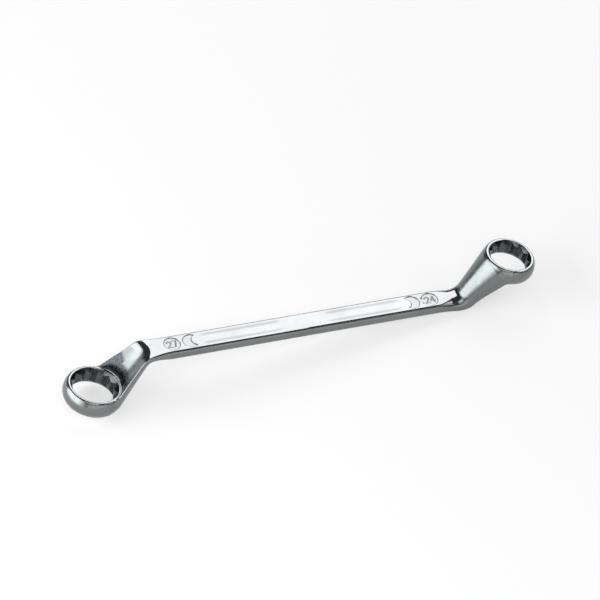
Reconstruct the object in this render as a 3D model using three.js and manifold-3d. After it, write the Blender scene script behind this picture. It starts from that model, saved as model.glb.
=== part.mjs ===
// A double-ended ring spanner with deep-offset twelve-point rings, 27 mm and 24 mm across flats.
// It is one drop forging, modelled as the five stretches it is drawn with: two ring heads, two cranked
// necks and the shank between them, which meet face to face.
// Frame: the spanner as it lies on a bench, X along it to the small ring, Z up, the origin in the middle of
// its footprint. Each end is built in a frame of its own: x out from the shank's middle, z the way its
// neck is cranked, so that face A of a neck looks back across the shank and face B is the neck's back.

import * as THREE from 'three';
import { mergeVertices } from 'three/addons/utils/BufferGeometryUtils.js';
import Module from 'manifold-3d';

const wasm = await Module();
wasm.setup();

// Driving dimensions, in millimetres and degrees.
const shank = {
  width: 16.4,
  thickness: 7.5,
  sideReach: 2.4, // how far the rounded sides reach in over the flat faces
  sidePower: 2.4,
};
const large = {
  acrossFlats: 27,
  wall: 4.6, // least wall, behind a point of the bore
  height: 13,
  reach: 145.8, // from the shank's middle to the bore's axis
  offset: 29.4, // from the shank's mid-plane to the ring's
  crankAngle: 55,
  lean: 5, // of the ring's plane against the shank's
  flat: 8.5, // straight stretch of the centreline from the bore's axis
  ringBend: 2, // centreline radius of the bend at the ring
  shankBend: 10, // and of the bend at the shank
  taperAngle: 14.5, // of each side of the neck in plan
  taperEase: 3,
  runOut: 14, // the neck's sides run out over this much of the shank
  rootA: 3.5, // the centreline to face A, beside the ring
  rootB: 10.3, // and to the crown of the back
  middleA: 3,
  middleB: 5.2,
  rimA: 18, // radius of the flat rim on face A
  rimB: 17.6,
  sideLow: 0.5, // the widest part of the ring lies this far from mid-height, to face B
  split: 22, // along the centreline, from the bore's axis to where the head ends
  markInset: 15.2, // from where the neck bends away to the size mark
  mark: '27',
};
const small = {
  acrossFlats: 24,
  wall: 4.4,
  height: 12,
  reach: 144.7,
  offset: 27.4,
  crankAngle: 55,
  lean: 5,
  flat: 8,
  ringBend: 2,
  shankBend: 12.5,
  taperAngle: 14,
  taperEase: 3,
  runOut: 14,
  rootA: 5.2,
  rootB: 9.6,
  middleA: 4.2,
  middleB: 5.2,
  rimA: 16.1,
  rimB: 16.5,
  sideLow: -0.5,
  split: 20,
  markInset: 17.6,
  mark: '24',
};
const neck = {
  edge: 1, // the ridge along each side of face A
  groove: 3.4, // how far along the shank the hollow between the ridges sets face A back
  rootPower: 1.9, // the back's roundness beside the ring
  middlePower: 2.2, // and at the shank
};
const barrelPower = 1.6;
const bore = { chamfer: 0.9, chamferDepth: 1.2 };
const spotFace = { reach: 20, clearance: 0.6 };
// On face A the cut flares at this depth and runs along the neck's face, this much steeper than it.
const scoop = { start: 4.5, ease: 7, depth: 34 };
const markRing = { radius: 5.6, depth: 0.4 };
const numeral = { height: 5.4, width: 3, stroke: 0.8, spacing: 4, rise: 0.3 };
const crescent = { spacing: 13.4, radius: 5.6, bite: 5, biteRadius: 4.6, depth: 0.4 };
// A shallow hollow, round across, from the bare pad in the shank's middle to near the crescent.
const hollow = { width: 9.4, depth: 0.6, start: 17.4, clearance: 8.7, runOut: 3 };
const overrun = 1; // how far a cutter runs past what it cuts

// How finely the round parts are drawn.
const ringSteps = 60;
const profileSteps = 6;
const neckSteps = 22;
const faceSteps = 6;
const arcSteps = 10;

const { clamp, lerp, smoothstep, degToRad } = THREE.MathUtils;
const chrome = { color: 0xc8ccce, roughness: 0.16, metalness: 1 };

// Solids: three's geometry in and out of the boolean library.
function solid(geometry) {
  const plain = geometry.clone();
  plain.deleteAttribute('normal');
  plain.deleteAttribute('uv');
  const merged = mergeVertices(plain);
  const vertProperties = new Float32Array(merged.attributes.position.array);
  const triVerts = new Uint32Array(merged.index.array);
  return new wasm.Manifold(new wasm.Mesh({ numProp: 3, vertProperties, triVerts }));
}

const largest = (manifold) => manifold.decompose().reduce((a, b) => (a.volume() > b.volume() ? a : b));

function piece(name, manifold) {
  const made = manifold.getMesh();
  const geometry = new THREE.BufferGeometry();
  geometry.setAttribute('position', new THREE.BufferAttribute(made.vertProperties, made.numProp));
  geometry.setIndex(new THREE.BufferAttribute(made.triVerts, 1));
  geometry.computeVertexNormals();
  const mesh = new THREE.Mesh(geometry, new THREE.MeshStandardMaterial(chrome));
  mesh.name = name;
  return mesh;
}

// A closed body through a row of loops with as many points each, its ends closed by fans.
function loft(loops) {
  const count = loops[0].length;
  const middles = [loops[0], loops[loops.length - 1]].map((loop) =>
    loop.reduce((sum, point) => sum.add(point), new THREE.Vector3()).divideScalar(count));
  const positions = [...loops.flat(), ...middles].flatMap((point) => point.toArray());
  const [firstMiddle, lastMiddle] = [loops.length * count, loops.length * count + 1];
  const index = [];
  for (let i = 0; i < count; i++) {
    const next = (i + 1) % count;
    for (let k = 0; k < loops.length - 1; k++) {
      const here = k * count;
      const ahead = here + count;
      index.push(here + i, here + next, ahead + next);
      index.push(here + i, ahead + next, ahead + i);
    }
    const last = (loops.length - 1) * count;
    index.push(firstMiddle, next, i);
    index.push(lastMiddle, last + i, last + next);
  }
  const geometry = new THREE.BufferGeometry();
  geometry.setAttribute('position', new THREE.Float32BufferAttribute(positions, 3));
  geometry.setIndex(index);
  return geometry;
}

// One side of a section: from face A round to face B, as pairs of width and height.
function quarter(width, face, reach, depth, power, sign) {
  const points = [];
  for (let i = 0; i <= profileSteps; i++) {
    const angle = (i / profileSteps) * Math.PI / 2;
    const across = width - reach * (1 - Math.sin(angle) ** (2 / power));
    const up = face - depth * (1 - Math.cos(angle) ** (2 / power));
    points.push([across, sign * up]);
  }
  return points;
}

// A section's closed loop in its own plane, from what its sides measure.
function sectionLoop(s) {
  const right = [
    ...quarter(s.width, s.faceA, Math.min(s.reachA, s.width), s.depthA, s.powerA, 1),
    ...quarter(s.width, s.faceB, Math.min(s.reachB, s.width), s.depthB, s.powerB, -1).reverse(),
  ];
  const left = right.map(([across, up]) => [-across, up]).reverse();
  const between = (from, to) => {
    const points = [];
    for (let i = 1; i < faceSteps; i++) {
      points.push([lerp(from[0], to[0], i / faceSteps), from[1]]);
    }
    return points;
  };
  const hollowed = ([across, up]) => [across, up - (s.groove ?? 0) * (1 - (across / right[0][0]) ** 2)];
  const overA = between(left[left.length - 1], right[0]).map(hollowed);
  const overB = between(right[right.length - 1], left[0]);
  return [...left, ...overA, ...right, ...overB].map(([across, up]) => new THREE.Vector2(across, up));
}

const shankSection = {
  width: shank.width / 2,
  faceA: shank.thickness / 2,
  faceB: shank.thickness / 2,
  reachA: shank.sideReach,
  reachB: shank.sideReach,
  depthA: shank.thickness / 2,
  depthB: shank.thickness / 2,
  powerA: shank.sidePower,
  powerB: shank.sidePower,
};

// Everything about an end that follows from its driving dimensions.
function layOut(end) {
  const crank = degToRad(end.crankAngle);
  const lean = degToRad(end.lean);
  const radius = end.acrossFlats / 2 / Math.cos(Math.PI / 6) + end.wall;
  const rise = end.offset + end.flat * Math.sin(lean)
    - end.shankBend * (1 - Math.cos(crank)) - end.ringBend * (Math.cos(lean) - Math.cos(crank));
  const straight = rise / Math.sin(crank);
  const start = end.reach - end.flat * Math.cos(lean) - straight * Math.cos(crank)
    - end.shankBend * Math.sin(crank) - end.ringBend * (Math.sin(crank) + Math.sin(lean));
  const bendEnd = end.shankBend * crank;
  const turnStart = bendEnd + straight;
  const turnEnd = turnStart + end.ringBend * (crank + lean);
  return { ...end, crank, lean, radius, start, bendEnd, turnStart, turnEnd, length: turnEnd + end.flat };
}

// The centreline's place and heading at a distance from the bore's axis, in the end's frame.
function centreline(end, fromAxis) {
  const run = end.length - fromAxis;
  const { crank, lean, start, shankBend, ringBend, bendEnd, turnStart, turnEnd } = end;
  const bendX = start + shankBend * Math.sin(crank);
  const bendZ = shankBend * (1 - Math.cos(crank));
  const turnX = bendX + (turnStart - bendEnd) * Math.cos(crank);
  const turnZ = bendZ + (turnStart - bendEnd) * Math.sin(crank);
  if (run <= bendEnd) {
    const heading = Math.max(run / shankBend, 0);
    const x = start + shankBend * Math.sin(heading) + Math.min(run, 0);
    return { x, z: shankBend * (1 - Math.cos(heading)), heading };
  }
  if (run <= turnStart) {
    const along = run - bendEnd;
    return { x: bendX + along * Math.cos(crank), z: bendZ + along * Math.sin(crank), heading: crank };
  }
  const heading = Math.max(crank - (run - turnStart) / ringBend, -lean);
  const beyond = Math.max(run - turnEnd, 0);
  return {
    x: turnX + ringBend * (Math.sin(crank) - Math.sin(heading)) + beyond * Math.cos(lean),
    z: turnZ + ringBend * (Math.cos(heading) - Math.cos(crank)) - beyond * Math.sin(lean),
    heading,
  };
}

// The neck's section: like the ring's side at the ring, D-shaped on the neck, and the shank's at its end.
function neckSection(end, fromAxis) {
  const taper = degToRad(end.taperAngle);
  const straightSide = (end.radius - fromAxis * Math.sin(taper)) / Math.cos(taper);
  const half = shank.width / 2;
  const spare = straightSide - half;
  const width = half + (spare + Math.hypot(spare, end.taperEase)) / 2;
  const ring = {
    faceA: end.height / 2,
    faceB: end.height / 2,
    reachA: end.radius - end.rimA,
    reachB: end.radius - end.rimB,
    depthA: end.height / 2 + end.sideLow,
    depthB: end.height / 2 - end.sideLow,
    powerA: barrelPower,
    powerB: barrelPower,
  };
  const root = {
    faceA: end.rootA,
    faceB: end.rootB,
    reachA: neck.edge,
    reachB: end.radius,
    depthA: neck.edge,
    depthB: end.rootA + end.rootB - neck.edge,
    powerA: 2,
    powerB: neck.rootPower,
  };
  const middle = {
    ...root,
    faceA: end.middleA,
    faceB: end.middleB,
    depthB: end.middleA + end.middleB - neck.edge,
    powerB: neck.middlePower,
  };
  const turn = end.flat + end.ringBend * end.crank;
  const toRoot = smoothstep(fromAxis, end.radius / 4, turn);
  const along = clamp((fromAxis - turn) / (end.length - turn), 0, 1);
  const toShank = smoothstep(fromAxis, end.length - end.shankBend * end.crank, end.length + end.runOut);
  const section = { width: lerp(width, half, toShank) };
  for (const key of Object.keys(ring)) {
    const onNeck = lerp(lerp(ring[key], root[key], toRoot), middle[key], along);
    section[key] = lerp(onNeck, shankSection[key], toShank);
  }
  section.groove = neck.groove * toRoot * Math.sin(Math.max(centreline(end, fromAxis).heading, 0));
  return section;
}

// From the shank's middle, where the other half is joined on, into the ring.
function neckLoft(end) {
  const first = end.radius * Math.sin(degToRad(end.taperAngle));
  const loops = [];
  for (let i = -1; i <= neckSteps; i++) {
    const fromAxis = i < 0 ? end.length + end.start : lerp(end.length + end.runOut, first, i / neckSteps);
    const { x, z, heading } = i < 0 ? { x: 0, z: 0, heading: 0 } : centreline(end, fromAxis);
    const section = neckSection(end, fromAxis);
    loops.push(sectionLoop(section).map((point) => new THREE.Vector3(
      x + point.y * Math.sin(heading), point.x, z - point.y * Math.cos(heading))));
  }
  return loft(loops);
}

// What is turned about the bore: a profile of radius and height, put in place in the end's frame.
function turned(end, profile) {
  const geometry = new THREE.LatheGeometry(profile, ringSteps);
  geometry.rotateX(Math.PI / 2);
  return solid(onRing(end, geometry));
}

function onRing(end, geometry) {
  return geometry.rotateY(end.lean).translate(end.reach, 0, end.offset);
}

function barrel(end) {
  const half = end.height / 2;
  const faceB = quarter(end.radius, half, end.radius - end.rimB, half - end.sideLow, barrelPower, 1);
  const faceA = quarter(end.radius, half, end.radius - end.rimA, half + end.sideLow, barrelPower, -1);
  const side = [...faceB, ...faceA.reverse().slice(1)].reverse();
  const profile = [[0, -half], ...side, [0, half]];
  return turned(end, profile.map(([r, z]) => new THREE.Vector2(r, z)));
}

// The cutters that leave the ring's faces flat. The one on face A flares, and leaves a trough in the neck.
function spotFaceA(end) {
  const face = -end.height / 2;
  const slope = Math.PI / 2 - end.crank - end.lean - degToRad(scoop.ease);
  const wide = end.rimA + (scoop.depth - scoop.start) * Math.tan(slope);
  const profile = [[0, face - scoop.depth], [wide, face - scoop.depth], [end.rimA, face - scoop.start],
    [end.rimA, face], [0, face]];
  return turned(end, profile.map(([r, z]) => new THREE.Vector2(r, z)));
}

function spotFaceB(end) {
  const face = end.height / 2;
  const radius = end.rimB + spotFace.clearance;
  const profile = [[0, face], [radius, face], [radius, face + spotFace.reach], [0, face + spotFace.reach]];
  return turned(end, profile.map(([r, z]) => new THREE.Vector2(r, z)));
}

// Twelve points: two hexagons turned a twelfth against each other, with a chamfer at each face.
function boreCutter(end) {
  const outer = end.acrossFlats / 2 / Math.cos(Math.PI / 6);
  const inner = end.acrossFlats / 2 / Math.cos(Math.PI / 12);
  const star = new THREE.Shape();
  for (let i = 0; i < 24; i++) {
    const radius = i % 2 ? inner : outer;
    const angle = (i / 12) * Math.PI;
    const [x, y] = [radius * Math.cos(angle), radius * Math.sin(angle)];
    if (i === 0) {
      star.moveTo(x, y);
    } else {
      star.lineTo(x, y);
    }
  }
  const depth = end.height + 2 * overrun;
  const prism = new THREE.ExtrudeGeometry(star, { depth, bevelEnabled: false });
  prism.translate(0, 0, -depth / 2);
  const wide = outer + bore.chamfer;
  const narrow = inner - bore.chamfer;
  const fall = bore.chamferDepth * (wide - narrow) / (2 * bore.chamfer);
  const slope = (wide - narrow) / fall;
  const half = end.height / 2;
  const cones = [1, -1].map((side) => {
    const profile = [[0, half - fall], [narrow, half - fall], [wide, half],
      [wide + slope * overrun, half + overrun], [0, half + overrun]];
    const upright = side > 0 ? profile : profile.map(([r, z]) => [r, -z]).reverse();
    return turned(end, upright.map(([r, z]) => new THREE.Vector2(r, z)));
  });
  return solid(onRing(end, prism)).add(cones[0]).add(cones[1]);
}

// Everything on the ring's side of a plane across the centreline.
function beyond(end, fromAxis) {
  const { x, z, heading } = centreline(end, fromAxis);
  const size = 4 * end.reach;
  const block = new THREE.BoxGeometry(size, size, size);
  block.translate(size / 2, 0, 0);
  block.rotateY(-heading);
  return solid(block.translate(x, 0, z));
}

// Half of the spanner, from the shank's middle to the ring, in the end's frame.
function buildHalf(end) {
  return barrel(end).add(solid(neckLoft(end)))
    .subtract(spotFaceA(end)).subtract(spotFaceB(end)).subtract(boreCutter(end));
}

// A stroke of even width along a line, as a flat outline.
function strokeOutline(points, width) {
  const sides = [[], []];
  points.forEach((point, i) => {
    const before = points[Math.max(i - 1, 0)];
    const after = points[Math.min(i + 1, points.length - 1)];
    const into = point.clone().sub(before).normalize();
    const out = after.clone().sub(point).normalize();
    const run = into.clone().add(out).normalize();
    const across = new THREE.Vector2(-run.y, run.x);
    const sharp = into.lengthSq() && out.lengthSq() ? across.dot(new THREE.Vector2(-out.y, out.x)) : 1;
    across.multiplyScalar(width / 2 / Math.max(sharp, 1 / 2));
    sides[0].push(point.clone().add(across));
    sides[1].push(point.clone().sub(across));
  });
  return new THREE.Shape([...sides[0], ...sides[1].reverse()]);
}

// Numerals in shares of their width and height.
const digitShares = {
  2: [[[0.02, 0.76], [0.14, 0.92], [0.5, 1], [0.86, 0.9], [0.96, 0.72], [0.8, 0.48], [0.04, 0], [1, 0]]],
  4: [[[0.72, 0], [0.72, 1]], [[0.72, 1], [0, 0.3], [1, 0.3]]],
  7: [[[0, 1], [0.98, 1], [0.36, 0]]],
};

function numerals(text) {
  const cells = [...text].map((digit, place) => {
    const middle = (place - (text.length - 1) / 2) * numeral.spacing;
    return digitShares[digit].map((shares) => strokeOutline(shares.map(([across, up]) => new THREE.Vector2(
      middle + (across - 0.5) * numeral.width, (up - 0.5) * numeral.height)), numeral.stroke));
  });
  return cells.flat();
}

function slab(shape, bottom, top) {
  const geometry = new THREE.ExtrudeGeometry(shape, { depth: top - bottom, bevelEnabled: false, curveSegments: arcSteps });
  return solid(geometry.translate(0, 0, bottom));
}

function disc(radius, x) {
  const shape = new THREE.Shape();
  shape.absarc(x, 0, radius, 0, 2 * Math.PI);
  return shape;
}

// The cutter of a hollow: long and of large radius, let in by the hollow's depth.
function hollowCutter(fromX, toX, face) {
  const radius = hollow.width ** 2 / hollow.depth / 8 + hollow.depth / 2;
  const narrow = radius - hollow.depth;
  const half = (toX - fromX) / 2;
  const profile = [[0, -half], [narrow, -half], [radius, hollow.runOut - half],
    [radius, half - hollow.runOut], [narrow, half], [0, half]];
  const cutter = new THREE.LatheGeometry(profile.map(([r, x]) => new THREE.Vector2(r, x)), ringSteps * 2);
  cutter.rotateZ(-Math.PI / 2);
  return solid(cutter.translate((fromX + toX) / 2, 0, Math.sign(face) * (Math.abs(face) + narrow)));
}

// The size marks, the crescents and the hollows, cut in the whole forging.
function addMarks(forging, ends) {
  const face = shank.thickness / 2;
  let body = forging;
  for (const [end, side] of ends) {
    const markX = side * (end.start - end.markInset);
    body = body.subtract(slab(disc(markRing.radius, markX), face - markRing.depth, face + overrun));
    for (const outline of numerals(end.mark)) {
      const raised = slab(outline, 0, face - markRing.depth + numeral.rise);
      body = body.add(raised.translate([markX, 0, 0]));
    }
    const moonX = markX - side * crescent.spacing;
    const moon = slab(disc(crescent.radius, moonX), face - crescent.depth, face + overrun);
    body = body.subtract(moon.subtract(slab(disc(crescent.biteRadius, moonX - side * crescent.bite), 0, 2 * face)));
    const hollowEnds = [side * hollow.start, moonX - side * hollow.clearance].sort((a, b) => a - b);
    body = body.subtract(hollowCutter(...hollowEnds, face)).subtract(hollowCutter(...hollowEnds, -face));
  }
  return body;
}

// The shank's frame holds both halves; the large one is turned half round, so that it cranks down.
const ends = [[layOut(large), -1], [layOut(small), 1]];
const place = (manifold, side) => (side > 0 ? manifold : manifold.rotate([0, 180, 0]));
const halves = ends.map(([end, side]) => place(buildHalf(end), side));
let rest = addMarks(halves[0].add(halves[1]), ends);
const spanner = new THREE.Group();
for (const [end, side] of ends) {
  const name = side > 0 ? 'small' : 'large';
  for (const [stretch, fromAxis] of [['ring_head', end.split], ['end_neck', end.length]]) {
    const cut = place(beyond(end, fromAxis), side);
    spanner.add(piece(`${name}_${stretch}`, largest(rest.intersect(cut))));
    rest = rest.subtract(cut);
  }
}
spanner.add(piece('shank', largest(rest)));

// At rest it touches the bench under the large ring and under the small end's bend: the line that
// touches both from below gives how far the shank slopes.
function restSlope() {
  spanner.updateMatrixWorld(true);
  const points = [];
  spanner.traverse((child) => {
    if (child.isMesh) {
      const position = child.geometry.attributes.position;
      for (let i = 0; i < position.count; i++) {
        points.push(new THREE.Vector3().fromBufferAttribute(position, i).applyMatrix4(child.matrixWorld));
      }
    }
  });
  let slope = 0;
  for (let round = 0; round < arcSteps; round++) {
    const height = (point) => point.z - slope * point.x;
    const lowest = (side) => points.filter((point) => point.x * side > 0)
      .reduce((low, point) => (height(point) < height(low) ? point : low));
    const [leftFoot, rightFoot] = [lowest(-1), lowest(1)];
    slope = (rightFoot.z - leftFoot.z) / (rightFoot.x - leftFoot.x);
  }
  return slope;
}

spanner.rotation.y = Math.atan(restSlope());
const group = new THREE.Group();
group.add(spanner);
group.updateMatrixWorld(true);
const extent = new THREE.Box3().setFromObject(group, true);
spanner.position.set(-(extent.min.x + extent.max.x) / 2, 0, -extent.min.z);

export default group;
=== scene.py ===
"""A chrome-plated ring spanner with deep-offset twelve-point rings, lying on a pale floor.

The forging is modelled as an implicit surface: a swept bar and two turned rings, joined with fillets and cut
by spot faces, bores and marks with rounded edges. Its skin is meshed, settled onto the surface, shaded by the
surface's own normals and parted into the five stretches of the frame.
Lengths are in millimetres until a mesh is made. Each end has a frame of its own: x out from the shank's
middle, z the way its neck is cranked. A neck's face A looks away from the shank, and face B back across it.
"""

import math
from functools import partial
from types import SimpleNamespace

import bmesh
import bpy
import numpy as np
from mathutils import Matrix, Vector


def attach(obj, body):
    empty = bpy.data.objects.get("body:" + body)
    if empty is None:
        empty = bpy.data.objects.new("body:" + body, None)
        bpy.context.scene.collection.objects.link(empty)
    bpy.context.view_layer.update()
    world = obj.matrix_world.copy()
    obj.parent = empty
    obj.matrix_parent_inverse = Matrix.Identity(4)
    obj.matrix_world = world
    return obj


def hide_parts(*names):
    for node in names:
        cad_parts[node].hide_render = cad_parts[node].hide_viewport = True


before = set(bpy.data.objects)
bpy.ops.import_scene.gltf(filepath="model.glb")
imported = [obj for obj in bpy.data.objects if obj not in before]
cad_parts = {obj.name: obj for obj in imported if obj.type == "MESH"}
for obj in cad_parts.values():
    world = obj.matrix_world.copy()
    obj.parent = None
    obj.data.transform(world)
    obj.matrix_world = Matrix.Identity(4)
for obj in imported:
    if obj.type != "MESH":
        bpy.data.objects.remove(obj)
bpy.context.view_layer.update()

MM = 0.001

# The forging's sizes, as the frame has them. Angles are in degrees.
SHANK = dict(width=16.4, thickness=7.5, side_reach=2.4, side_power=2.4)
LARGE = dict(
    name="large", side=-1, across_flats=27.0, wall=4.6, height=13.0, reach=145.8, offset=29.4, crank=55.0,
    lean=5.0, flat=8.5, ring_bend=2.0, shank_bend=10.0, taper=14.5, taper_ease=3.0, run_out=14.0,
    root_a=3.5, root_b=10.3, middle_a=3.0, middle_b=5.2, rim_a=18.0, rim_b=17.6, side_low=0.5, split=22.0,
    mark_inset=15.2, mark="27",
)
SMALL = dict(
    name="small", side=1, across_flats=24.0, wall=4.4, height=12.0, reach=144.7, offset=27.4, crank=55.0,
    lean=5.0, flat=8.0, ring_bend=2.0, shank_bend=12.5, taper=14.0, taper_ease=3.0, run_out=14.0,
    root_a=5.2, root_b=9.6, middle_a=4.2, middle_b=5.2, rim_a=16.1, rim_b=16.5, side_low=-0.5, split=20.0,
    mark_inset=17.6, mark="24",
)
BORE = dict(chamfer=0.9, chamfer_depth=1.2)
SPOT_CLEARANCE = 0.6
SCOOP = dict(start=4.5, ease=7.0)
GROOVE = 3.4

# The twelve-point star is two hexagons: the turns of a hexagon's sides, and of the second hexagon.
HEXAGON_TURNS = (0, 60, 120)
STAR_TURN = 30

# A neck's section: the ridges beside face A, the powers of its rounded sides, and where it leaves the ring's.
RIDGE = 1.0
ROUND_POWER = 2
ROOT_POWER = 1.9
MIDDLE_POWER = 2.2
ROOT_START_SHARE = 0.25

# Rounding of the places where surfaces meet, down to a sharp edge.
NECK_FILLET = 3.5
SPOT_EDGE = 1.0
SPOT_FADE = 1.0
SPOT_ROOT = 0.7
SCOOP_EDGE = 1.6
SCOOP_BLEND = 3.0
GROOVE_EDGE = 0.8
STAR_EDGE = 0.6
BORE_EDGE = 0.35
SHARP = 1e-6

# Marks in the shank's top, by their distance outwards from its middle. Its underside has only the hollows.
MARK = dict(radius=5.6, depth=0.5, wall=0.55)
NUMERAL = dict(height=5.4, width=3.0, stroke=0.8, spacing=4.0, rise=0.34, wall=0.3)
CRESCENT = dict(spacing=13.4, radius=5.6, bite=5.0, bite_radius=4.6)
HOLLOW = dict(half=5.0, depth=0.14, wall=3.0, start=17.4, clearance=8.7, corner=2.4)

# Between these heights over the bar's middle plane the marks fade in.
MARK_FADE = (1.0, 2.5)

# The numerals' strokes, in shares of a numeral's width and height.
STROKES = {
    "2": [[(0.02, 0.76), (0.14, 0.92), (0.5, 1), (0.86, 0.9), (0.96, 0.72), (0.8, 0.48), (0.04, 0), (1, 0)]],
    "4": [[(0.72, 0), (0.72, 1), (0, 0.3), (1, 0.3)]],
    "7": [[(0, 1), (0.98, 1), (0.36, 0)]],
}

# How it rests: the shank's slope in radians, and where the shank's middle is.
REST_SLOPE = 0.138377737
REST_PLACE = (1.640143, 0.0, 19.280770)

# How far a form or a net runs past what it meets.
OVERRUN = 1.0

# The net over an end: its cells, its lap over the shank, and how it is brought onto the surface.
PITCH = 0.45
SHANK_LAP = 1.5
SETTLE_ROUNDS = 3
RELAX_ROUNDS = 2
RELAX_SETTLE_ROUNDS = 2

# The loops round the shank: how far apart they stand, the points of one, and how they are settled.
PLAIN_STEP = 1.5
EDGE_STEP = 0.4
MARK_STEP = 0.25
LAST_STEP = 0.3
STEP_MARGIN = 1.0
CORNER_STEPS = 8
TOP_POINTS = 54
BOTTOM_POINTS = 30
LOOP_ROUNDS = 4
LOOP_MOVE = 0.5
IN_LOOP = np.array([0, 1, 1])

# Steps for the slopes of a field, and limits that stand for zero.
GRADIENT_STEP = 0.01
FACING_STEP = 0.05
TINY = 1e-9
TINY_SQUARE = 1e-6

# Limits for cutting the skin, in metres, and for how nearly a cut face lies square to its cut.
CUT_TOLERANCE = 1e-7
ON_CUT = 1e-6
SQUARE_TO_CUT = 0.999

# The three finishes of the chrome plate: what the darker and the lighter tone reflects, and how rough it is.
# The satin one is darker than the polished one as painted shade on the sides, and the third, near black, is
# painted shade.
SATIN_AND_PAINTED_SHADE = dict(dark=(0.178, 0.194, 0.192, 1), light=(0.204, 0.22, 0.218, 1), rough=(0.22, 0.3))
POLISHED = dict(dark=(0.46, 0.47, 0.485, 1), light=(0.52, 0.53, 0.545, 1), rough=(0.06, 0.12))
DULL_AND_PAINTED_SHADE = dict(dark=(0.026, 0.032, 0.036, 1), light=(0.065, 0.075, 0.082, 1), rough=(0.16, 0.3))

# The plate is polished where its surface is nearly level, and satin with painted shade where it is not: from
# none to wholly, by its normal's height.
FLAT_FACING = (0.82, 0.9)

# Patterns in the plate: their scale per metre, detail and stretch, and the span of the noise that they use.
CLOUDS = dict(scale=45, detail=3)
MOTTLE = dict(scale=260, detail=3)
BRUSHING = dict(scale=900, detail=2, stretch=(12, 1, 1))
BROACHING = dict(scale=1400, detail=2, stretch=(1, 1, 14))
PATTERN_SPAN = (0.3, 0.7)
STREAK_SPAN = (0.35, 0.65)
BUMP = dict(Strength=0.05, Distance=0.00002)

# Painted shade on an end: in the bore, less on facets turned one way, which is a painted highlight, in the
# trough and beside it.
BORE_BAND = 0.15
FACET_PAINTED_LIGHT = 0.35
FACET_TURN = (-0.15, 0.15)
TROUGH_BAND = 0.6
TROUGH_FACING = (0.34, 0.45)
SLATE = dict(limit=29.0, slant=0.55, fade=3.0, near=(-9.0, -3.0))

# Painted shade on the shank: on bands along the hollows and in the sunk marks, and darker numerals, all
# within a thin band of the bar's faces.
BAND = dict(middle=3.8, half=0.9, fade=2.2, run_out=6.0)
BAND_PAINTED_SHADE = 0.33
MARK_PAINTED_SHADE = 0.1
NUMERAL_DARKENING = 0.6
FACE_BAND = 1.0

# The floor: half its size in metres, its paper, and the share of its own white in what is seen of it.
FLOOR_HALF = 6.0
FLOOR_COLOUR = (0.96, 0.96, 0.96, 1)
FLOOR_ROUGHNESS = 0.9
FLOOR_WHITE = (0.97, 0.97, 0.97, 1)
FLOOR_WHITE_SHARE = 0.55

# The camera, where the photograph's outlines place it, in metres and degrees. Its lens and sensor are in
# millimetres, and its reach is how far it sees.
CAMERA_PLACE = (-1.11686215, -2.46927298, 2.90575931)
CAMERA_TURN = 24.30692
CAMERA_ELEVATION = 46.56199
CAMERA_ROLL = 2.86926
CAMERA_LENS = 360
CAMERA_SENSOR = 36
CAMERA_REACH = 50

# The room is dark, with six lamps in it, in metres. A lamp's level is how bright it looks, where 1 is white.
WORLD_COLOUR = (0.9, 0.95, 1, 1)
WORLD_LEVEL = 0.05
DOWN, TO_RIGHT, TO_BACK = (0, 0, -1), (1, 0, 0), (0, 1, 0)
LAMPS = {
    "left_softbox": dict(place=(-0.8, 0.12, 0.42), facing=TO_RIGHT, width=0.96, height=0.84, level=4.6),
    "far_right_softbox": dict(place=(0.965, 1.35, 1.0), facing=DOWN, width=2.17, height=1.8, level=1.8),
    "right_softbox": dict(place=(1.6, -0.4, 1.0), facing=DOWN, width=1.3, height=1.7, level=1.75),
    "left_fade_card": dict(place=(-0.8, -0.48, 0.42), facing=TO_RIGHT, width=0.24, height=0.84, level=2.0),
    "near_softbox": dict(place=(-0.2, -0.85, 1.0), facing=DOWN, width=0.9, height=0.7, level=3.4),
    "camera_side_card": dict(place=(-0.1, -1.0, 0.2), facing=TO_BACK, width=1.5, height=0.4, level=1.5),
}


def lerp(a, b, share):
    return a + (b - a) * share


def smoothstep(x, low, high):
    share = np.clip((x - low) / (high - low), 0, 1)
    return share * share * (3 - 2 * share)


def smooth_min(a, b, rounding):
    """The smaller of two fields, rounded where they meet."""
    rounding = np.maximum(rounding, SHARP)
    near = np.maximum(rounding - np.abs(a - b), 0) / rounding
    return np.minimum(a, b) - near * near * rounding / 4


def smooth_max(a, b, rounding):
    return -smooth_min(-a, -b, rounding)


def gradient(field, points, step=GRADIENT_STEP):
    """A field's slope at points, by central differences."""
    slopes = []
    for axis in range(3):
        shift = np.zeros(3)
        shift[axis] = step
        slopes.append((field(points + shift) - field(points - shift)) / (2 * step))
    return np.stack(slopes, -1)


def unit(vectors):
    return vectors / np.maximum(np.linalg.norm(vectors, axis=1, keepdims=True), TINY)


def corner_radius(across_flats):
    """How far a hexagon's corners lie from its middle."""
    return across_flats / 2 / math.cos(math.pi / 6)


def arc_radius(reach, depth):
    """The radius of an arc that goes that deep and comes in by that reach."""
    return (reach * reach + depth * depth) / (2 * reach)


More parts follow.
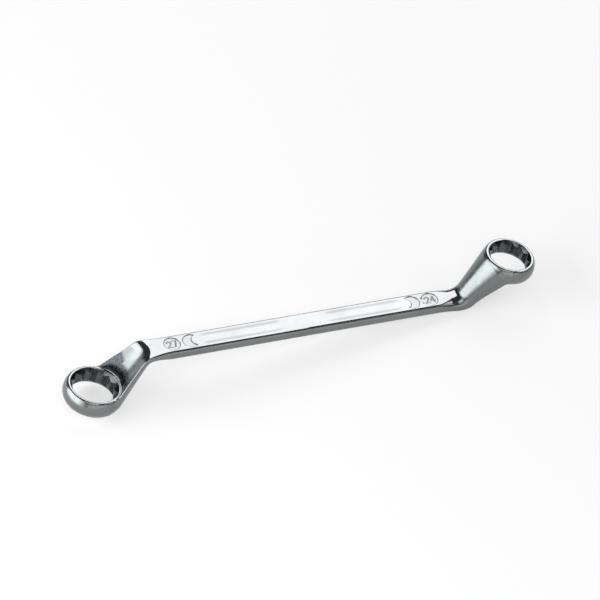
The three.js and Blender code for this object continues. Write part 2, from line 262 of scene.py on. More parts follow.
def lay_out(sizes):
    """An end's sizes with what follows from them, as in the frame. Its angles are in radians."""
    end = SimpleNamespace(**sizes)
    end.crank, end.lean, end.taper = (math.radians(angle) for angle in (end.crank, end.lean, end.taper))
    sin_crank, cos_crank = math.sin(end.crank), math.cos(end.crank)
    sin_lean, cos_lean = math.sin(end.lean), math.cos(end.lean)
    end.radius = corner_radius(end.across_flats) + end.wall
    rise = (end.offset + end.flat * sin_lean - end.shank_bend * (1 - cos_crank)
            - end.ring_bend * (cos_lean - cos_crank))
    end.straight = rise / sin_crank
    end.start = (end.reach - end.flat * cos_lean - end.straight * cos_crank
                 - end.shank_bend * sin_crank - end.ring_bend * (sin_crank + sin_lean))
    end.bend_end = end.shank_bend * end.crank
    end.turn_start = end.bend_end + end.straight
    end.turn_end = end.turn_start + end.ring_bend * (end.crank + end.lean)
    end.length = end.turn_end + end.flat
    end.bend = (end.start + end.shank_bend * sin_crank, end.shank_bend * (1 - cos_crank))
    end.turn = (end.bend[0] + end.straight * cos_crank, end.bend[1] + end.straight * sin_crank)
    end.bar_start = end.radius * math.sin(end.taper)
    end.root = end.flat + end.ring_bend * end.crank
    half = end.height / 2
    end.arc_a = arc_radius(end.radius - end.rim_a, half + end.side_low)
    end.arc_b = arc_radius(end.radius - end.rim_b, half - end.side_low)
    end.mark_x = end.start - end.mark_inset
    end.moon_x = end.mark_x - CRESCENT["spacing"]
    return end


def centreline(end, from_axis):
    """A point of the centreline and its heading."""
    run = end.length - from_axis
    sin_crank, cos_crank = math.sin(end.crank), math.cos(end.crank)
    if run <= end.bend_end:
        heading = max(run / end.shank_bend, 0)
        x = end.start + end.shank_bend * math.sin(heading) + min(run, 0)
        return x, end.shank_bend * (1 - math.cos(heading)), heading
    if run <= end.turn_start:
        along = run - end.bend_end
        return end.bend[0] + along * cos_crank, end.bend[1] + along * sin_crank, end.crank
    heading = max(end.crank - (run - end.turn_start) / end.ring_bend, -end.lean)
    beyond = max(run - end.turn_end, 0)
    x = end.turn[0] + end.ring_bend * (sin_crank - math.sin(heading)) + beyond * math.cos(end.lean)
    z = end.turn[1] + end.ring_bend * (math.cos(heading) - cos_crank) - beyond * math.sin(end.lean)
    return x, z, heading


def along_centreline(end, x, z):
    """For points: how far from the axis their place on the centreline is, and how far they lie to face A."""
    crank, lean = end.crank, end.lean
    (bend_x, bend_z), (turn_x, turn_z) = end.bend, end.turn
    along = (x - bend_x) * math.cos(crank) + (z - bend_z) * math.sin(crank)
    run = end.bend_end + along
    to_a = (x - bend_x) * math.sin(crank) - (z - bend_z) * math.cos(crank)

    in_bend = along < 0
    past_start, over_centre = x - end.start, z - end.shank_bend
    angle = np.arctan2(past_start, -over_centre)
    away = np.hypot(past_start, over_centre)
    away = np.where((angle >= 0) & (angle <= crank), away, -away)
    run = np.where(in_bend, np.clip(angle, 0, crank) * end.shank_bend, run)
    to_a = np.where(in_bend, away - end.shank_bend, to_a)

    on_shank = in_bend & (past_start < 0)
    run = np.where(on_shank, past_start, run)
    to_a = np.where(on_shank, -z, to_a)

    in_turn = along > end.straight
    centre_x = turn_x + end.ring_bend * math.sin(crank)
    centre_z = turn_z - end.ring_bend * math.cos(crank)
    heading = np.arctan2(centre_x - x, z - centre_z)
    away = np.hypot(x - centre_x, z - centre_z)
    away = np.where((heading >= -lean) & (heading <= crank), away, -away)
    run = np.where(in_turn, end.turn_start + (crank - np.clip(heading, -lean, crank)) * end.ring_bend, run)
    to_a = np.where(in_turn, end.ring_bend - away, to_a)

    flat_x = x - turn_x - end.ring_bend * (math.sin(crank) + math.sin(lean))
    flat_z = z - turn_z - end.ring_bend * (math.cos(lean) - math.cos(crank))
    along_flat = flat_x * math.cos(lean) - flat_z * math.sin(lean)
    on_flat = in_turn & (along_flat > 0)
    run = np.where(on_flat, end.turn_end + along_flat, run)
    to_a = np.where(on_flat, -(flat_x * math.sin(lean) + flat_z * math.cos(lean)), to_a)
    return end.length - run, to_a


def rounded(across, up, side, reach, depth, power):
    """How far a point lies outside one quarter of a section, from its widest level up to its flat face."""
    out = np.maximum(across - (side - reach), 0) / reach
    high = np.maximum(up, 0) / depth
    larger = np.maximum(out, high) + TINY
    size = larger * ((out / larger) ** power + (high / larger) ** power) ** (1 / power)
    slope_out = (out / size) ** (power - 1) / reach
    slope_up = (high / size) ** (power - 1) / depth
    return (size - 1) / np.hypot(slope_out, slope_up)


def section_sizes(face_a, face_b, reaches, depths, powers):
    """A section's faces, and the reach, depth and power of its rounded sides towards face A and face B."""
    return dict(face_a=face_a, face_b=face_b, reach_a=reaches[0], reach_b=reaches[1],
                depth_a=depths[0], depth_b=depths[1], power_a=powers[0], power_b=powers[1])


def crowned_section(end, face_a, face_b, power):
    """A neck's section: low ridges beside face A, and a face B that is crowned over the whole width."""
    depths = (RIDGE, face_a + face_b - RIDGE)
    return section_sizes(face_a, face_b, (RIDGE, end.radius), depths, (ROUND_POWER, power))


def neck_section(end, from_axis):
    """The bar's section along it: the ring's turned arcs, the neck's root and middle, and the shank."""
    half, face = SHANK["width"] / 2, SHANK["thickness"] / 2
    spare = (end.radius - from_axis * math.sin(end.taper)) / math.cos(end.taper) - half
    width = half + (spare + np.hypot(spare, end.taper_ease)) / 2
    arcs = (end.arc_a, end.arc_b)
    ring = section_sizes(end.arc_a - end.side_low, end.arc_b + end.side_low, arcs, arcs, (ROUND_POWER,) * 2)
    root = crowned_section(end, end.root_a, end.root_b, ROOT_POWER)
    middle = crowned_section(end, end.middle_a, end.middle_b, MIDDLE_POWER)
    shank = section_sizes(face, face, (SHANK["side_reach"],) * 2, (face,) * 2, (SHANK["side_power"],) * 2)
    to_root = smoothstep(from_axis, end.radius * ROOT_START_SHARE, end.root)
    to_shank = smoothstep(from_axis, end.length - end.bend_end, end.length + end.run_out)
    along = np.clip((from_axis - end.root) / (end.length - end.root), 0, 1)
    section = SimpleNamespace(width=lerp(width, half, to_shank), edge=SPOT_EDGE * (1 - to_root))
    for key in shank:
        on_neck = lerp(lerp(ring[key], root[key], to_root), middle[key], along)
        setattr(section, key, lerp(on_neck, shank[key], to_shank))
    section.cut_a = lerp(end.height / 2, section.face_a, to_root)
    section.cut_b = lerp(end.height / 2, section.face_b, to_root)
    return section


def groove(end, points, width):
    """Face A, hollowed across. The hollow runs down the neck and ends in a round on the shank."""
    shift = GROOVE * np.maximum(1 - (points[:, 1] / (width - RIDGE)) ** 2, 0)
    from_axis, to_a = along_centreline(end, points[:, 0] + shift, points[:, 2])
    return to_a - neck_section(end, np.maximum(from_axis, 0)).face_a


def sweep(end, points, capped=True):
    """The bar: shank, bends and neck, and where it ends in the ring."""
    from_axis, to_a = along_centreline(end, points[:, 0], points[:, 2])
    place = np.clip(from_axis, end.bar_start, end.length + end.run_out + OVERRUN)
    section = neck_section(end, place)
    level = section.face_a - section.depth_a
    on_a = to_a >= level
    reach = np.minimum(np.where(on_a, section.reach_a, section.reach_b), section.width)
    depth = np.where(on_a, section.depth_a, section.depth_b)
    power = np.where(on_a, section.power_a, section.power_b)
    skin = rounded(np.abs(points[:, 1]), np.abs(to_a - level), section.width, reach, depth, power)
    skin = smooth_max(skin, np.maximum(to_a - section.cut_a, -to_a - section.cut_b), section.edge)
    grooved = (to_a > 0) * (place > end.root)
    skin = smooth_max(skin, groove(end, points, section.width), GROOVE_EDGE * grooved)
    return np.maximum(skin, end.bar_start - from_axis) if capped else skin


def ring_frame(end, points):
    """Points by the ring: places along and across its plane, radius, and height towards face B."""
    cos_lean, sin_lean = math.cos(end.lean), math.sin(end.lean)
    out, rise = points[:, 0] - end.reach, points[:, 2] - end.offset
    along = out * cos_lean - rise * sin_lean
    up = out * sin_lean + rise * cos_lean
    return along, points[:, 1], np.hypot(along, points[:, 1]), up


def barrel(end, points):
    """The ring's outside, a turned arc. The spot faces cut it flat."""
    _, _, radius, up = ring_frame(end, points)
    arc = np.where(up >= end.side_low, end.arc_b, end.arc_a)
    outside = np.hypot(np.maximum(radius - end.radius + arc, 0), up - end.side_low) - arc
    return np.maximum(outside, np.abs(up) - end.height / 2 - OVERRUN)


def trough_wall(end, radius, below):
    """How far points lie inside the flared wall of face A's cutter."""
    slope = math.pi / 2 - end.crank - end.lean - math.radians(SCOOP["ease"])
    flare = smooth_max(0 * below, (below - SCOOP["start"]) * math.tan(slope), SCOOP_BLEND)
    steep = smoothstep(below, SCOOP["start"] - SCOOP_BLEND, SCOOP["start"] + SCOOP_BLEND)
    return (end.rim_a + flare - radius) * lerp(1, math.cos(slope), steep)


def spot_faces(end, points, body):
    """Cuts the ring's faces flat. On face A the cut flares along the neck and leaves a trough in it."""
    _, _, radius, up = ring_frame(end, points)
    below = -end.height / 2 - up
    keep = smooth_min(trough_wall(end, radius, below), below, SPOT_ROOT)
    edge = lerp(SPOT_EDGE, SCOOP_EDGE, smoothstep(below, SPOT_FADE, SCOOP["start"]))
    at_rim = np.maximum(smoothstep(radius, end.rim_a - SPOT_FADE, end.rim_a), below > SPOT_FADE)
    body = smooth_max(body, keep, edge * at_rim)
    keep = smooth_min(end.rim_b + SPOT_CLEARANCE - radius, up - end.height / 2, SPOT_ROOT)
    return smooth_max(body, keep, SPOT_EDGE * smoothstep(radius, end.rim_b - SPOT_FADE, end.rim_b))


def hexagon(end, along, across, first):
    """A hexagon over the bore's flats, turned by the first angle: negative inside."""
    angles = [math.radians(first + turn) for turn in HEXAGON_TURNS]
    one, two, three = (np.abs(along * math.cos(angle) + across * math.sin(angle)) - end.across_flats / 2
                       for angle in angles)
    return smooth_max(smooth_max(one, two, STAR_EDGE), three, STAR_EDGE)


def bore(end, points):
    """The twelve-point hole and its chamfers: negative in the hole."""
    along, across, radius, up = ring_frame(end, points)
    star = smooth_min(hexagon(end, along, across, 0), hexagon(end, along, across, STAR_TURN), STAR_EDGE)
    wide = corner_radius(end.across_flats) + BORE["chamfer"]
    slope = math.atan2(BORE["chamfer_depth"], BORE["chamfer"])
    inwards = np.minimum(np.abs(up) - end.height / 2, 0)
    cone = (radius - wide) * math.sin(slope) - inwards * math.cos(slope)
    return smooth_min(star, cone, BORE_EDGE)


def forged_end(end, points):
    """The forging round one ring, as far as the shank: negative in the metal."""
    to_bar, to_ring = sweep(end, points), barrel(end, points)
    near = (np.abs(to_bar - to_ring) < NECK_FILLET) & (np.minimum(to_bar, to_ring) < NECK_FILLET)
    fillet = np.zeros(len(points))
    if near.any():
        bar_slope = gradient(partial(sweep, end, capped=False), points[near], FACING_STEP)
        ring_slope = gradient(partial(barrel, end), points[near], FACING_STEP)
        sizes = np.linalg.norm(bar_slope, axis=1) * np.linalg.norm(ring_slope, axis=1)
        facing = (bar_slope * ring_slope).sum(1) / np.maximum(sizes, TINY)
        fillet[near] = NECK_FILLET * np.clip(1 - facing, 0, 1)
    body = spot_faces(end, points, smooth_min(to_bar, to_ring, fillet))
    return smooth_max(body, -bore(end, points), BORE_EDGE)


def cut(distance, wall):
    """The share of a cut's depth at a distance outside its outline, across a sloping wall."""
    return 1 - smoothstep(distance, -wall / 2, wall / 2)


def segment_distance(x, y, start, stop):
    (start_x, start_y), (stop_x, stop_y) = start, stop
    run_x, run_y = stop_x - start_x, stop_y - start_y
    share = ((x - start_x) * run_x + (y - start_y) * run_y) / (run_x ** 2 + run_y ** 2)
    share = np.clip(share, 0, 1)
    return np.hypot(x - start_x - share * run_x, y - start_y - share * run_y)


def numerals(text, x, y):
    """How high the numerals stand at a place, from 0 to 1, about the mark's middle."""
    high = np.zeros_like(x)
    for place, digit in enumerate(text):
        middle = (place - (len(text) - 1) / 2) * NUMERAL["spacing"]
        for line in STROKES[digit]:
            points = [(middle + (across - 0.5) * NUMERAL["width"], (up - 0.5) * NUMERAL["height"])
                      for across, up in line]
            for start, stop in zip(points, points[1:]):
                outside = segment_distance(x, y, start, stop) - NUMERAL["stroke"] / 2
                high = np.maximum(high, cut(outside, NUMERAL["wall"]))
    return high


def hollow_span(end):
    """Where a hollow's middle is along the shank, and half its length."""
    low, high = HOLLOW["start"], end.moon_x - HOLLOW["clearance"]
    return (low + high) / 2, (high - low) / 2


def hollow_depth(end, x, y):
    """How deep the long hollow is at a place. x is the distance outwards from the shank's middle."""
    middle, half = hollow_span(end)
    past_x = np.abs(x - middle) - half + HOLLOW["corner"]
    past_y = np.abs(y) - HOLLOW["half"] + HOLLOW["corner"]
    beyond = np.hypot(np.maximum(past_x, 0), np.maximum(past_y, 0))
    outside = beyond + np.minimum(np.maximum(past_x, past_y), 0) - HOLLOW["corner"]
    return HOLLOW["depth"] * cut(outside + HOLLOW["wall"] / 2, HOLLOW["wall"])


def stamped_depth(end, x, y):
    """How deep the stamped marks are at a place: a disc with raised numerals, and a crescent."""
    disc = MARK["depth"] * cut(np.hypot(x - end.mark_x, y) - MARK["radius"], MARK["wall"])
    figures = NUMERAL["rise"] * numerals(end.mark, (x - end.mark_x) * end.side, y)
    outer = np.hypot(x - end.moon_x, y) - CRESCENT["radius"]
    inner = CRESCENT["bite_radius"] - np.hypot(x - end.moon_x + CRESCENT["bite"], y)
    return disc - figures + MARK["depth"] * cut(np.maximum(outer, inner), MARK["wall"])


def forged_bar(end, points):
    """Half of the shank, with its marks. Its top is face B on the small end's side, face A on the other."""
    x, y, z = points.T
    on_top = z * end.side > 0
    depth = hollow_depth(end, x, y) + on_top * stamped_depth(end, x, y)
    return sweep(end, points) + depth * smoothstep(np.abs(z), *MARK_FADE)


def settle(field, points, rounds, limit, free=1):
    """Moves points onto the field's surface, along the axes that are free."""
    for _ in range(rounds):
        slope = gradient(field, points) * free
        step = field(points)[:, None] * slope / np.maximum((slope * slope).sum(1, keepdims=True), TINY_SQUARE)
        size = np.linalg.norm(step, axis=1, keepdims=True)
        points = points - step * np.minimum(1, limit / np.maximum(size, TINY))
    return points


def sample(field, low, high):
    """A field's values on a grid over a box."""
    xs, ys, zs = (np.arange(start, stop + PITCH, PITCH) for start, stop in zip(low, high))
    y, z = np.meshgrid(ys, zs, indexing="ij")
    slices = [field(np.stack([np.full(y.size, x), y.ravel(), z.ravel()], -1)).reshape(y.shape) for x in xs]
    return np.stack(slices)


def edge_crossings(values):
    """For each cell of a grid: how many of its edges the surface crosses, and the sum of the crossings."""
    cells = tuple(size - 1 for size in values.shape)
    count = np.zeros(cells)
    total = np.zeros(cells + (3,))

    def at_corner(offset):
        return values[tuple(slice(start, start + size) for start, size in zip(offset, cells))]

    for axis in range(3):
        for one, two in ((0, 0), (0, 1), (1, 0), (1, 1)):
            start = [0, 0, 0]
            start[(axis + 1) % 3] = one
            start[(axis + 2) % 3] = two
            stop = list(start)
            stop[axis] = 1
            before, after = at_corner(start), at_corner(stop)
            crossed = (before < 0) != (after < 0)
            share = np.where(crossed, before / np.where(crossed, before - after, 1), 0)
            for other in range(3):
                total[..., other] += np.where(crossed, start[other] + (share if other == axis else 0), 0)
            count += crossed
    return count, total


def net_quads(inside, index):
    """A quad across each edge of the grid that the surface crosses, from cell to cell round the edge."""
    quads = []
    for axis in range(3):
        one, two = (axis + 1) % 3, (axis + 2) % 3
        here = tuple(slice(0, -1) if other == axis else slice(1, -1) for other in range(3))
        ahead = tuple(slice(1, None) if other == axis else slice(1, -1) for other in range(3))
        crossings = np.argwhere(inside[here] != inside[ahead])
        outward = inside[here][tuple(crossings.T)]
        base = crossings + [0 if other == axis else 1 for other in range(3)]
        ring = []
        for step_one, step_two in ((0, 0), (1, 0), (1, 1), (0, 1)):
            cell = base.copy()
            cell[:, one] -= 1 - step_one
            cell[:, two] -= 1 - step_two
            ring.append(index[tuple(cell.T)])
        ring = np.stack(ring, -1)
        quads.append(np.where(outward[:, None], ring, ring[:, ::-1]))
    return np.concatenate(quads)


def surface_net(field, low, high):
    """Quads over a field's surface in a box: one vertex in each cell that it crosses."""
    values = sample(field, low, high)
    count, total = edge_crossings(values)
    active = count > 0
    index = np.full(count.shape, -1)
    index[active] = np.arange(active.sum())
    vertices = np.array(low) + (np.argwhere(active) + total[active] / count[active][:, None]) * PITCH
    return vertices, net_quads(values < 0, index)


def relax(field, vertices, quads):
    """Evens the net out along the surface."""
    ends = np.concatenate([quads[:, [0, 1]], quads[:, [1, 2]], quads[:, [2, 3]], quads[:, [3, 0]]])
    for _ in range(RELAX_ROUNDS):
        total = np.zeros_like(vertices)
        count = np.zeros(len(vertices))
        for here, there in ((0, 1), (1, 0)):
            for axis in range(3):
                total[:, axis] += np.bincount(ends[:, here], vertices[ends[:, there], axis], len(vertices))
            count += np.bincount(ends[:, here], minlength=len(vertices))
        move = total / np.maximum(count, 1)[:, None] - vertices
        normals = unit(gradient(field, vertices))
        move -= normals * (move * normals).sum(1, keepdims=True)
        vertices = settle(field, vertices + move / 2, RELAX_SETTLE_ROUNDS, PITCH / 2)
    return vertices


def turned_to_scene(end, vectors):
    """Turns directions, or places about the shank's middle, from an end's frame to the scene's."""
    x, z = vectors[..., 0] * end.side, vectors[..., 2] * end.side
    cos_rest, sin_rest = math.cos(REST_SLOPE), math.sin(REST_SLOPE)
    return np.stack([x * cos_rest + z * sin_rest, vectors[..., 1], z * cos_rest - x * sin_rest], -1)


def to_scene(end, points):
    """From an end's frame to the scene's, in metres."""
    return (turned_to_scene(end, points) + REST_PLACE) * MM


def from_scene(end, places):
    scene_x, y, scene_z = np.moveaxis(np.asarray(places) / MM - REST_PLACE, -1, 0)
    cos_rest, sin_rest = math.cos(REST_SLOPE), math.sin(REST_SLOPE)
    x, z = scene_x * cos_rest - scene_z * sin_rest, scene_x * sin_rest + scene_z * cos_rest
    return np.stack([x * end.side, y, z * end.side], -1)


def cut_plane(end, from_axis):
    """A plane across the centreline, in the scene's frame: a point and the direction towards the ring."""
    x, z, heading = centreline(end, from_axis)
    point = to_scene(end, np.array([x, 0, z]))
    direction = turned_to_scene(end, np.array([math.cos(heading), 0, math.sin(heading)]))
    return Vector(point), Vector(direction)


def cut_mesh(bm, point, direction, keep_beyond):
    """Cuts a mesh at a plane, keeps one side and closes it."""
    geometry = bm.verts[:] + bm.edges[:] + bm.faces[:]
    out = bmesh.ops.bisect_plane(bm, geom=geometry, dist=CUT_TOLERANCE, plane_co=point, plane_no=direction,
                                 clear_inner=keep_beyond, clear_outer=not keep_beyond)
    edges = [element for element in out["geom_cut"] if isinstance(element, bmesh.types.BMEdge)]
    bmesh.ops.edgeloop_fill(bm, edges=edges)


def new_mesh(name, vertices, faces):
    mesh = bpy.data.meshes.new(name)
    faces = [tuple(int(i) for i in face) for face in faces]
    mesh.from_pydata([tuple(place) for place in vertices], [], faces)
    mesh.update()
    return mesh


def opened(mesh):
    bm = bmesh.new()
    bm.from_mesh(mesh)
    return bm


def add_object(name, data):
    obj = bpy.data.objects.new(name, data)
    bpy.context.scene.collection.objects.link(obj)
    return obj


def painted_shade_end(end, points, normals):
    """How much painted shade an end's skin gets, from 0 to 1: in the bore, in the trough and beside it, and
    less on facets turned one way.
    """
    along, across, radius, up = ring_frame(end, points)
    half = end.height / 2
    below = -half - up
    normal_along = normals[:, 0] * math.cos(end.lean) - normals[:, 2] * math.sin(end.lean)
    normal_to_a = -(normals[:, 0] * math.sin(end.lean) + normals[:, 2] * math.cos(end.lean))

    in_bore = (np.abs(bore(end, points)) < BORE_BAND) & (np.abs(up) < half - BORE_EDGE)
    on_facets = np.abs(up) < half - BORE["chamfer_depth"]
    turned = end.side * (along * normals[:, 1] - across * normal_along) / np.maximum(radius, TINY)
    bore_share = in_bore * (1 - FACET_PAINTED_LIGHT * on_facets * smoothstep(turned, *FACET_TURN))

    deep = below > TROUGH_BAND
    on_wall = np.abs(trough_wall(end, radius, below)) < TROUGH_BAND
    trough_share = on_wall * deep * (1 - smoothstep(normal_to_a, *TROUGH_FACING))

    from_axis, to_a = along_centreline(end, points[:, 0], points[:, 2])
    limit = SLATE["limit"] + SLATE["slant"] * across
    beside = (to_a > 0) * (radius > end.rim_a) * deep
    slate_share = beside * (1 - smoothstep(from_axis, limit - SLATE["fade"], limit + SLATE["fade"]))
    in_shade = smoothstep(across, *SLATE["near"])
    return np.maximum(bore_share, np.maximum(slate_share, trough_share) * in_shade)


def painted_shade_bar(end, points, _normals):
    """The painted shade for the shank, where only the place counts."""
    x, y, z = points.T
    middle, half = hollow_span(end)
    across = cut(np.abs(np.abs(y) - BAND["middle"]) - BAND["half"], BAND["fade"])
    band_share = BAND_PAINTED_SHADE * across * cut(np.abs(x - middle) - half, BAND["run_out"])
    mark_share = MARK_PAINTED_SHADE * np.clip(stamped_depth(end, x, y) / MARK["depth"], 0, 1)
    numeral_share = NUMERAL_DARKENING * numerals(end.mark, (x - end.mark_x) * end.side, y)
    on_face = np.abs(z) > SHANK["thickness"] / 2 - FACE_BAND
    return on_face * np.maximum(band_share, np.maximum(mark_share, numeral_share))


def finish_piece(node, bm, stretches, field, painted_shade, planes, material):
    """Makes the piece for a node, with the field's own normals on its skin and flat ones on its cut ends."""
    name = node + "_forged"
    mesh = bpy.data.meshes.new(name)
    bmesh.ops.recalc_face_normals(bm, faces=bm.faces[:])
    bm.to_mesh(mesh)
    bm.free()
    mesh.polygons.foreach_set("use_smooth", [True] * len(mesh.polygons))
    places = np.empty(len(mesh.vertices) * 3)
    mesh.vertices.foreach_get("co", places)
    places = places.reshape(-1, 3)

    skin = np.zeros_like(places)
    painted_shade_share = np.zeros(len(places))
    for end, which in stretches(places):
        points = from_scene(end, places[which])
        normals = unit(gradient(partial(field, end), points))
        skin[which] = turned_to_scene(end, normals)
        painted_shade_share[which] = painted_shade(end, points, normals)
    # The painted shade of each point is kept as an attribute that the material reads.
    mesh.attributes.new("painted_shade_mask", "FLOAT", "POINT").data.foreach_set("value", painted_shade_share.astype(np.float32))

    corners = np.empty(len(mesh.loops), int)
    mesh.loops.foreach_get("vertex_index", corners)
    corner_normals = skin[corners]
    for polygon in mesh.polygons:
        middle, facing = polygon.center, polygon.normal
        for point, direction in planes:
            if abs((middle - point).dot(direction)) < ON_CUT and abs(facing.dot(direction)) > SQUARE_TO_CUT:
                corner_normals[polygon.loop_start:polygon.loop_start + polygon.loop_total] = facing
    mesh.normals_split_custom_set([tuple(normal) for normal in corner_normals])
    mesh.materials.append(material)
    obj = add_object(name, mesh)
    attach(obj, "root")
    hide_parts(node)


def end_net(end):
    """The skin of an end. Its net stands square to the ring."""
    cos_lean, sin_lean = math.cos(end.lean), math.sin(end.lean)

    def to_end(points):
        along, across, up = points.T
        x = end.reach + along * cos_lean + up * sin_lean
        z = end.offset - along * sin_lean + up * cos_lean
        return np.stack([x, across, z], -1)

    def field(points):
        return forged_end(end, to_end(points))

    wide = end.radius + OVERRUN
    back, down = end.start - SHANK_LAP - end.reach, -end.offset
    low_along = back * cos_lean - down * sin_lean - OVERRUN
    low_up = back * sin_lean + down * cos_lean - SHANK["thickness"]
    vertices, quads = surface_net(field, (low_along, -wide, low_up), (wide, wide, end.height / 2 + OVERRUN))
    vertices = settle(field, vertices, SETTLE_ROUNDS, PITCH / 2)
    vertices = relax(field, vertices, quads)
    return to_scene(end, to_end(vertices)), quads


def shank_stations(end):
    """Where the shank's loops stand, outwards from its middle to one end: close together at the marks."""
    fine = [
        (end.mark_x, MARK["radius"] + STEP_MARGIN, MARK_STEP),
        (end.moon_x, CRESCENT["radius"] + STEP_MARGIN, EDGE_STEP),
        (end.moon_x - HOLLOW["clearance"], HOLLOW["wall"], EDGE_STEP),
        (HOLLOW["start"], HOLLOW["wall"], EDGE_STEP),
        (end.start, GROOVE + 2 * STEP_MARGIN, EDGE_STEP),
    ]
    stations = []
    x = 0.0
    while x < end.start - LAST_STEP:
        stations.append(x)
        x += min([step for middle, reach, step in fine if abs(x - middle) < reach], default=PLAIN_STEP)
    return stations + [end.start]


def shank_loop():
    """The plain shank's section as a loop of places across and up, with the top's points closer together."""
    half, face = SHANK["width"] / 2, SHANK["thickness"] / 2
    reach, power = SHANK["side_reach"], 2 / SHANK["side_power"]
    inner = half - reach
    quarter = []
    for step in range(CORNER_STEPS + 1):
        angle = step / CORNER_STEPS * math.pi / 2
        quarter.append((half - reach * (1 - math.sin(angle) ** power), face * math.cos(angle) ** power))
    top = [(y, face) for y in np.linspace(-inner, inner, TOP_POINTS)[1:-1]]
    bottom = [(y, -face) for y in np.linspace(inner, -inner, BOTTOM_POINTS)[1:-1]]
    right = quarter + [(y, -z) for y, z in reversed(quarter[:-1])]
    left = [(-y, z) for y, z in reversed(right)]
    return top + right + bottom + left


def shank_net(large, small):
    """The skin of the shank: loops settled onto the bar, joined by quads and closed at both ends."""
    stations = [(large, x) for x in reversed(shank_stations(large)[1:])]
    stations += [(small, x) for x in shank_stations(small)]
    loop = shank_loop()
    rows = []
    for end, x in stations:
        points = np.array([(x, y, z * end.side) for y, z in loop])
        width = neck_section(end, np.array([end.length + end.start - x])).width[0]
        points[:, 1] *= width / (SHANK["width"] / 2)
        points = settle(partial(forged_bar, end), points, LOOP_ROUNDS, LOOP_MOVE, IN_LOOP)
        rows.append(to_scene(end, points))
    count = len(loop)
    last = (len(rows) - 1) * count
    faces = []
    for row in range(0, last, count):
        for i in range(count):
            j = (i + 1) % count
            faces.append((row + i, row + j, row + count + j, row + count + i))
    faces += [tuple(range(count)), tuple(last + i for i in reversed(range(count)))]
    return np.concatenate(rows), faces


def build_end(end, material):
    """An end's two pieces, the ring's head and the neck."""
    skin = new_mesh(end.name + "_skin", *end_net(end))
    head_plane, shank_plane = cut_plane(end, end.split), cut_plane(end, end.length)

    def whole(_places):
        return [(end, slice(None))]

    head = opened(skin)
    cut_mesh(head, *head_plane, True)
    finish_piece(end.name + "_ring_head", head, whole, forged_end, painted_shade_end, [head_plane], material)
    neck = opened(skin)
    cut_mesh(neck, *shank_plane, True)
    cut_mesh(neck, *head_plane, False)
    planes = [head_plane, shank_plane]
    finish_piece(end.name + "_end_neck", neck, whole, forged_end, painted_shade_end, planes, material)
    bpy.data.meshes.remove(skin)


def build_shank(large, small, material):
    skin = new_mesh("bar_skin", *shank_net(large, small))
    bar = opened(skin)
    bpy.data.meshes.remove(skin)

    def halves(places):
        left = from_scene(small, places)[:, 0] < 0
        return [(large, left), (small, ~left)]

    planes = [cut_plane(end, end.length) for end in (large, small)]
    finish_piece("shank", bar, halves, forged_bar, painted_shade_bar, planes, material)


def feed(tree, socket, value):
    """Links a socket to another node's output, or sets its value."""
    if isinstance(value, bpy.types.NodeSocket):
        tree.links.new(value, socket)
    else:
        socket.default_value = value


def add_node(tree, kind, **settings):
    """A node with its settings. A key that names a socket feeds that socket."""
    node = tree.nodes.new(kind)
    for key, value in settings.items():
        if key in node.inputs:
            feed(tree, node.inputs[key], value)
        else:
            setattr(node, key, value)
    return node


def blend(tree, factor, a, b, kind="FLOAT"):
    """Mixes two values or two colours by a factor."""
    node = add_node(tree, "ShaderNodeMix", data_type=kind)
    wanted = {"FLOAT": "VALUE", "RGBA": "RGBA"}[kind]
    first, second = [socket for socket in node.inputs if socket.type == wanted][-2:]
    feed(tree, node.inputs[0], factor)
    feed(tree, first, a)
    feed(tree, second, b)
    return next(socket for socket in node.outputs if socket.type == wanted)


def noise(tree, where, scale, detail, stretch=(1, 1, 1)):
    """Noise at a scale per metre, stretched along the axes."""
    mapping = add_node(tree, "ShaderNodeMapping", vector_type="TEXTURE", Vector=where, Scale=stretch)
    stretched = mapping.outputs["Vector"]
    texture = add_node(tree, "ShaderNodeTexNoise", Scale=scale, Detail=detail, Vector=stretched)
    return texture.outputs["Fac"]


def ramp(tree, value, from_span, to_span=(0.0, 1.0)):
    """A value taken smoothly from one span to another."""
    node = add_node(tree, "ShaderNodeMapRange", interpolation_type="SMOOTHSTEP")
    feed(tree, node.inputs["Value"], value)
    for word, span in (("From", from_span), ("To", to_span)):
        node.inputs[word + " Min"].default_value = span[0]
        node.inputs[word + " Max"].default_value = span[1]
    return node.outputs["Result"]


def combine(tree, operation, a, b):
    node = add_node(tree, "ShaderNodeMath", operation=operation)
    feed(tree, node.inputs[0], a)
    feed(tree, node.inputs[1], b)
    return node.outputs[0]


def tone(tree, finish, pattern, span=PATTERN_SPAN):
    """A finish's colour, between its darker and its lighter tone."""
    return blend(tree, ramp(tree, pattern, span), finish["dark"], finish["light"], "RGBA")


def roughness(tree, finish, pattern):
    return ramp(tree, pattern, PATTERN_SPAN, finish["rough"])


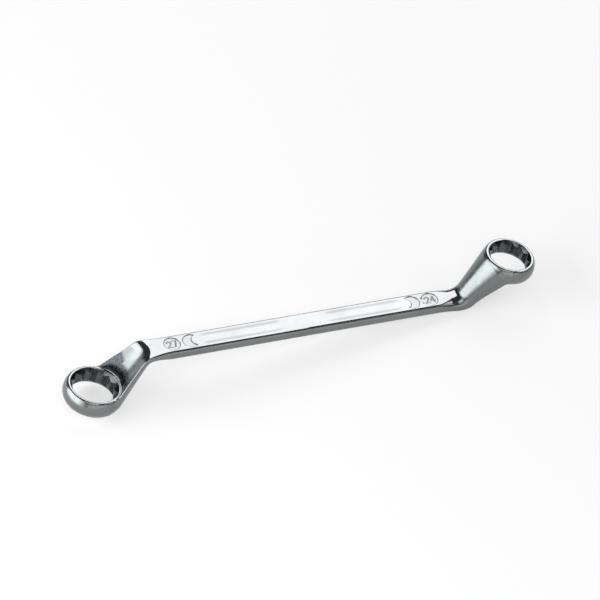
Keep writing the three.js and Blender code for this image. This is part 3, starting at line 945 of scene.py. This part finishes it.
def chrome_material():
    """Chrome plate: bright on the ground flats; satin on the forged sides, which are also painted darker as
    painted shade; near black in the bores, troughs, shank hollows and marks, which is painted shade.
    """
    material = bpy.data.materials.new("chrome_plate")
    material.use_nodes = True
    tree = material.node_tree
    shader = tree.nodes["Principled BSDF"]
    shader.inputs["Metallic"].default_value = 1
    places = add_node(tree, "ShaderNodeTexCoord").outputs
    facing = add_node(tree, "ShaderNodeSeparateXYZ", Vector=places["Normal"])
    flat = ramp(tree, combine(tree, "ABSOLUTE", facing.outputs["Z"], 0.0), FLAT_FACING)
    # How much painted shade a point has, from the mesh's attribute.
    painted_shade = add_node(tree, "ShaderNodeAttribute", attribute_name="painted_shade_mask").outputs["Fac"]
    clouds = noise(tree, places["Object"], **CLOUDS)
    mottle = noise(tree, places["Object"], **MOTTLE)
    brushing = noise(tree, places["Object"], **BRUSHING)
    broaching = noise(tree, places["Object"], **BROACHING)

    # Surfaces that face sideways take the darker satin tone: partly a satin finish, partly painted shade.
    colour = blend(tree, flat, tone(tree, SATIN_AND_PAINTED_SHADE, clouds), tone(tree, POLISHED, clouds), "RGBA")
    # Painted shade, near black, where the attribute asks for it; its roughness is a duller broached finish.
    colour = blend(tree, painted_shade, colour, tone(tree, DULL_AND_PAINTED_SHADE, broaching, STREAK_SPAN), "RGBA")
    rough = blend(tree, flat, roughness(tree, SATIN_AND_PAINTED_SHADE, mottle), roughness(tree, POLISHED, brushing))
    rough = blend(tree, painted_shade, rough, roughness(tree, DULL_AND_PAINTED_SHADE, broaching))
    grain = blend(tree, painted_shade, blend(tree, flat, mottle, brushing), broaching)
    bump = add_node(tree, "ShaderNodeBump", Height=grain, **BUMP)
    feed(tree, shader.inputs["Base Color"], colour)
    feed(tree, shader.inputs["Roughness"], rough)
    feed(tree, shader.inputs["Normal"], bump.outputs["Normal"])
    return material


def floor_material():
    """White paper. Part of what is seen of it is its own white, so that the shadow on it stays soft."""
    material = bpy.data.materials.new("pale_floor")
    material.use_nodes = True
    tree = material.node_tree
    shader = tree.nodes["Principled BSDF"]
    shader.inputs["Base Color"].default_value = FLOOR_COLOUR
    shader.inputs["Roughness"].default_value = FLOOR_ROUGHNESS
    shader.inputs["Specular IOR Level"].default_value = 0
    rays = add_node(tree, "ShaderNodeLightPath").outputs
    seen = combine(tree, "MAXIMUM", rays["Is Camera Ray"], rays["Is Glossy Ray"])
    seen = combine(tree, "MAXIMUM", seen, rays["Is Transmission Ray"])
    white = add_node(tree, "ShaderNodeEmission", Color=FLOOR_WHITE, Strength=1.0)
    mixed = add_node(tree, "ShaderNodeMixShader", Fac=combine(tree, "MULTIPLY", seen, FLOOR_WHITE_SHARE))
    feed(tree, mixed.inputs[1], shader.outputs["BSDF"])
    feed(tree, mixed.inputs[2], white.outputs["Emission"])
    feed(tree, tree.nodes["Material Output"].inputs["Surface"], mixed.outputs["Shader"])
    return material


def lay_floor():
    corners = [(x * FLOOR_HALF, y * FLOOR_HALF, 0) for x, y in ((-1, -1), (1, -1), (1, 1), (-1, 1))]
    mesh = new_mesh("floor", corners, [(0, 1, 2, 3)])
    mesh.materials.append(floor_material())
    floor = add_object("floor", mesh)


def set_camera():
    data = bpy.data.cameras.new("camera")
    data.lens = CAMERA_LENS
    data.sensor_width = CAMERA_SENSOR
    data.clip_end = CAMERA_REACH
    camera = add_object("camera", data)
    turn = Matrix.Rotation(-math.radians(CAMERA_TURN), 4, "Z")
    tilt = Matrix.Rotation(math.radians(90 - CAMERA_ELEVATION), 4, "X")
    roll = Matrix.Rotation(math.radians(CAMERA_ROLL), 4, "Z")
    camera.matrix_world = Matrix.Translation(CAMERA_PLACE) @ turn @ tilt @ roll
    bpy.context.scene.camera = camera


def hang_lamp(name, place, facing, width, height, level):
    """A rectangular lamp that looks as bright as its level says."""
    data = bpy.data.lights.new(name, "AREA")
    data.shape = "RECTANGLE"
    data.size = width
    data.size_y = height
    data.energy = level * width * height * math.pi
    aim = Vector(facing).to_track_quat("-Z", "Y").to_matrix().to_4x4()
    add_object(name, data).matrix_world = Matrix.Translation(place) @ aim


def light_room():
    world = bpy.data.worlds.new("studio")
    bpy.context.scene.world = world
    world.use_nodes = True
    background = world.node_tree.nodes["Background"]
    background.inputs["Color"].default_value = WORLD_COLOUR
    background.inputs["Strength"].default_value = WORLD_LEVEL
    for name, lamp in LAMPS.items():
        hang_lamp(name, **lamp)


large_end, small_end = lay_out(LARGE), lay_out(SMALL)
chrome = chrome_material()
build_end(large_end, chrome)
build_end(small_end, chrome)
build_shank(large_end, small_end, chrome)
lay_floor()
set_camera()
light_room()
bpy.context.scene.view_settings.view_transform = "Standard"
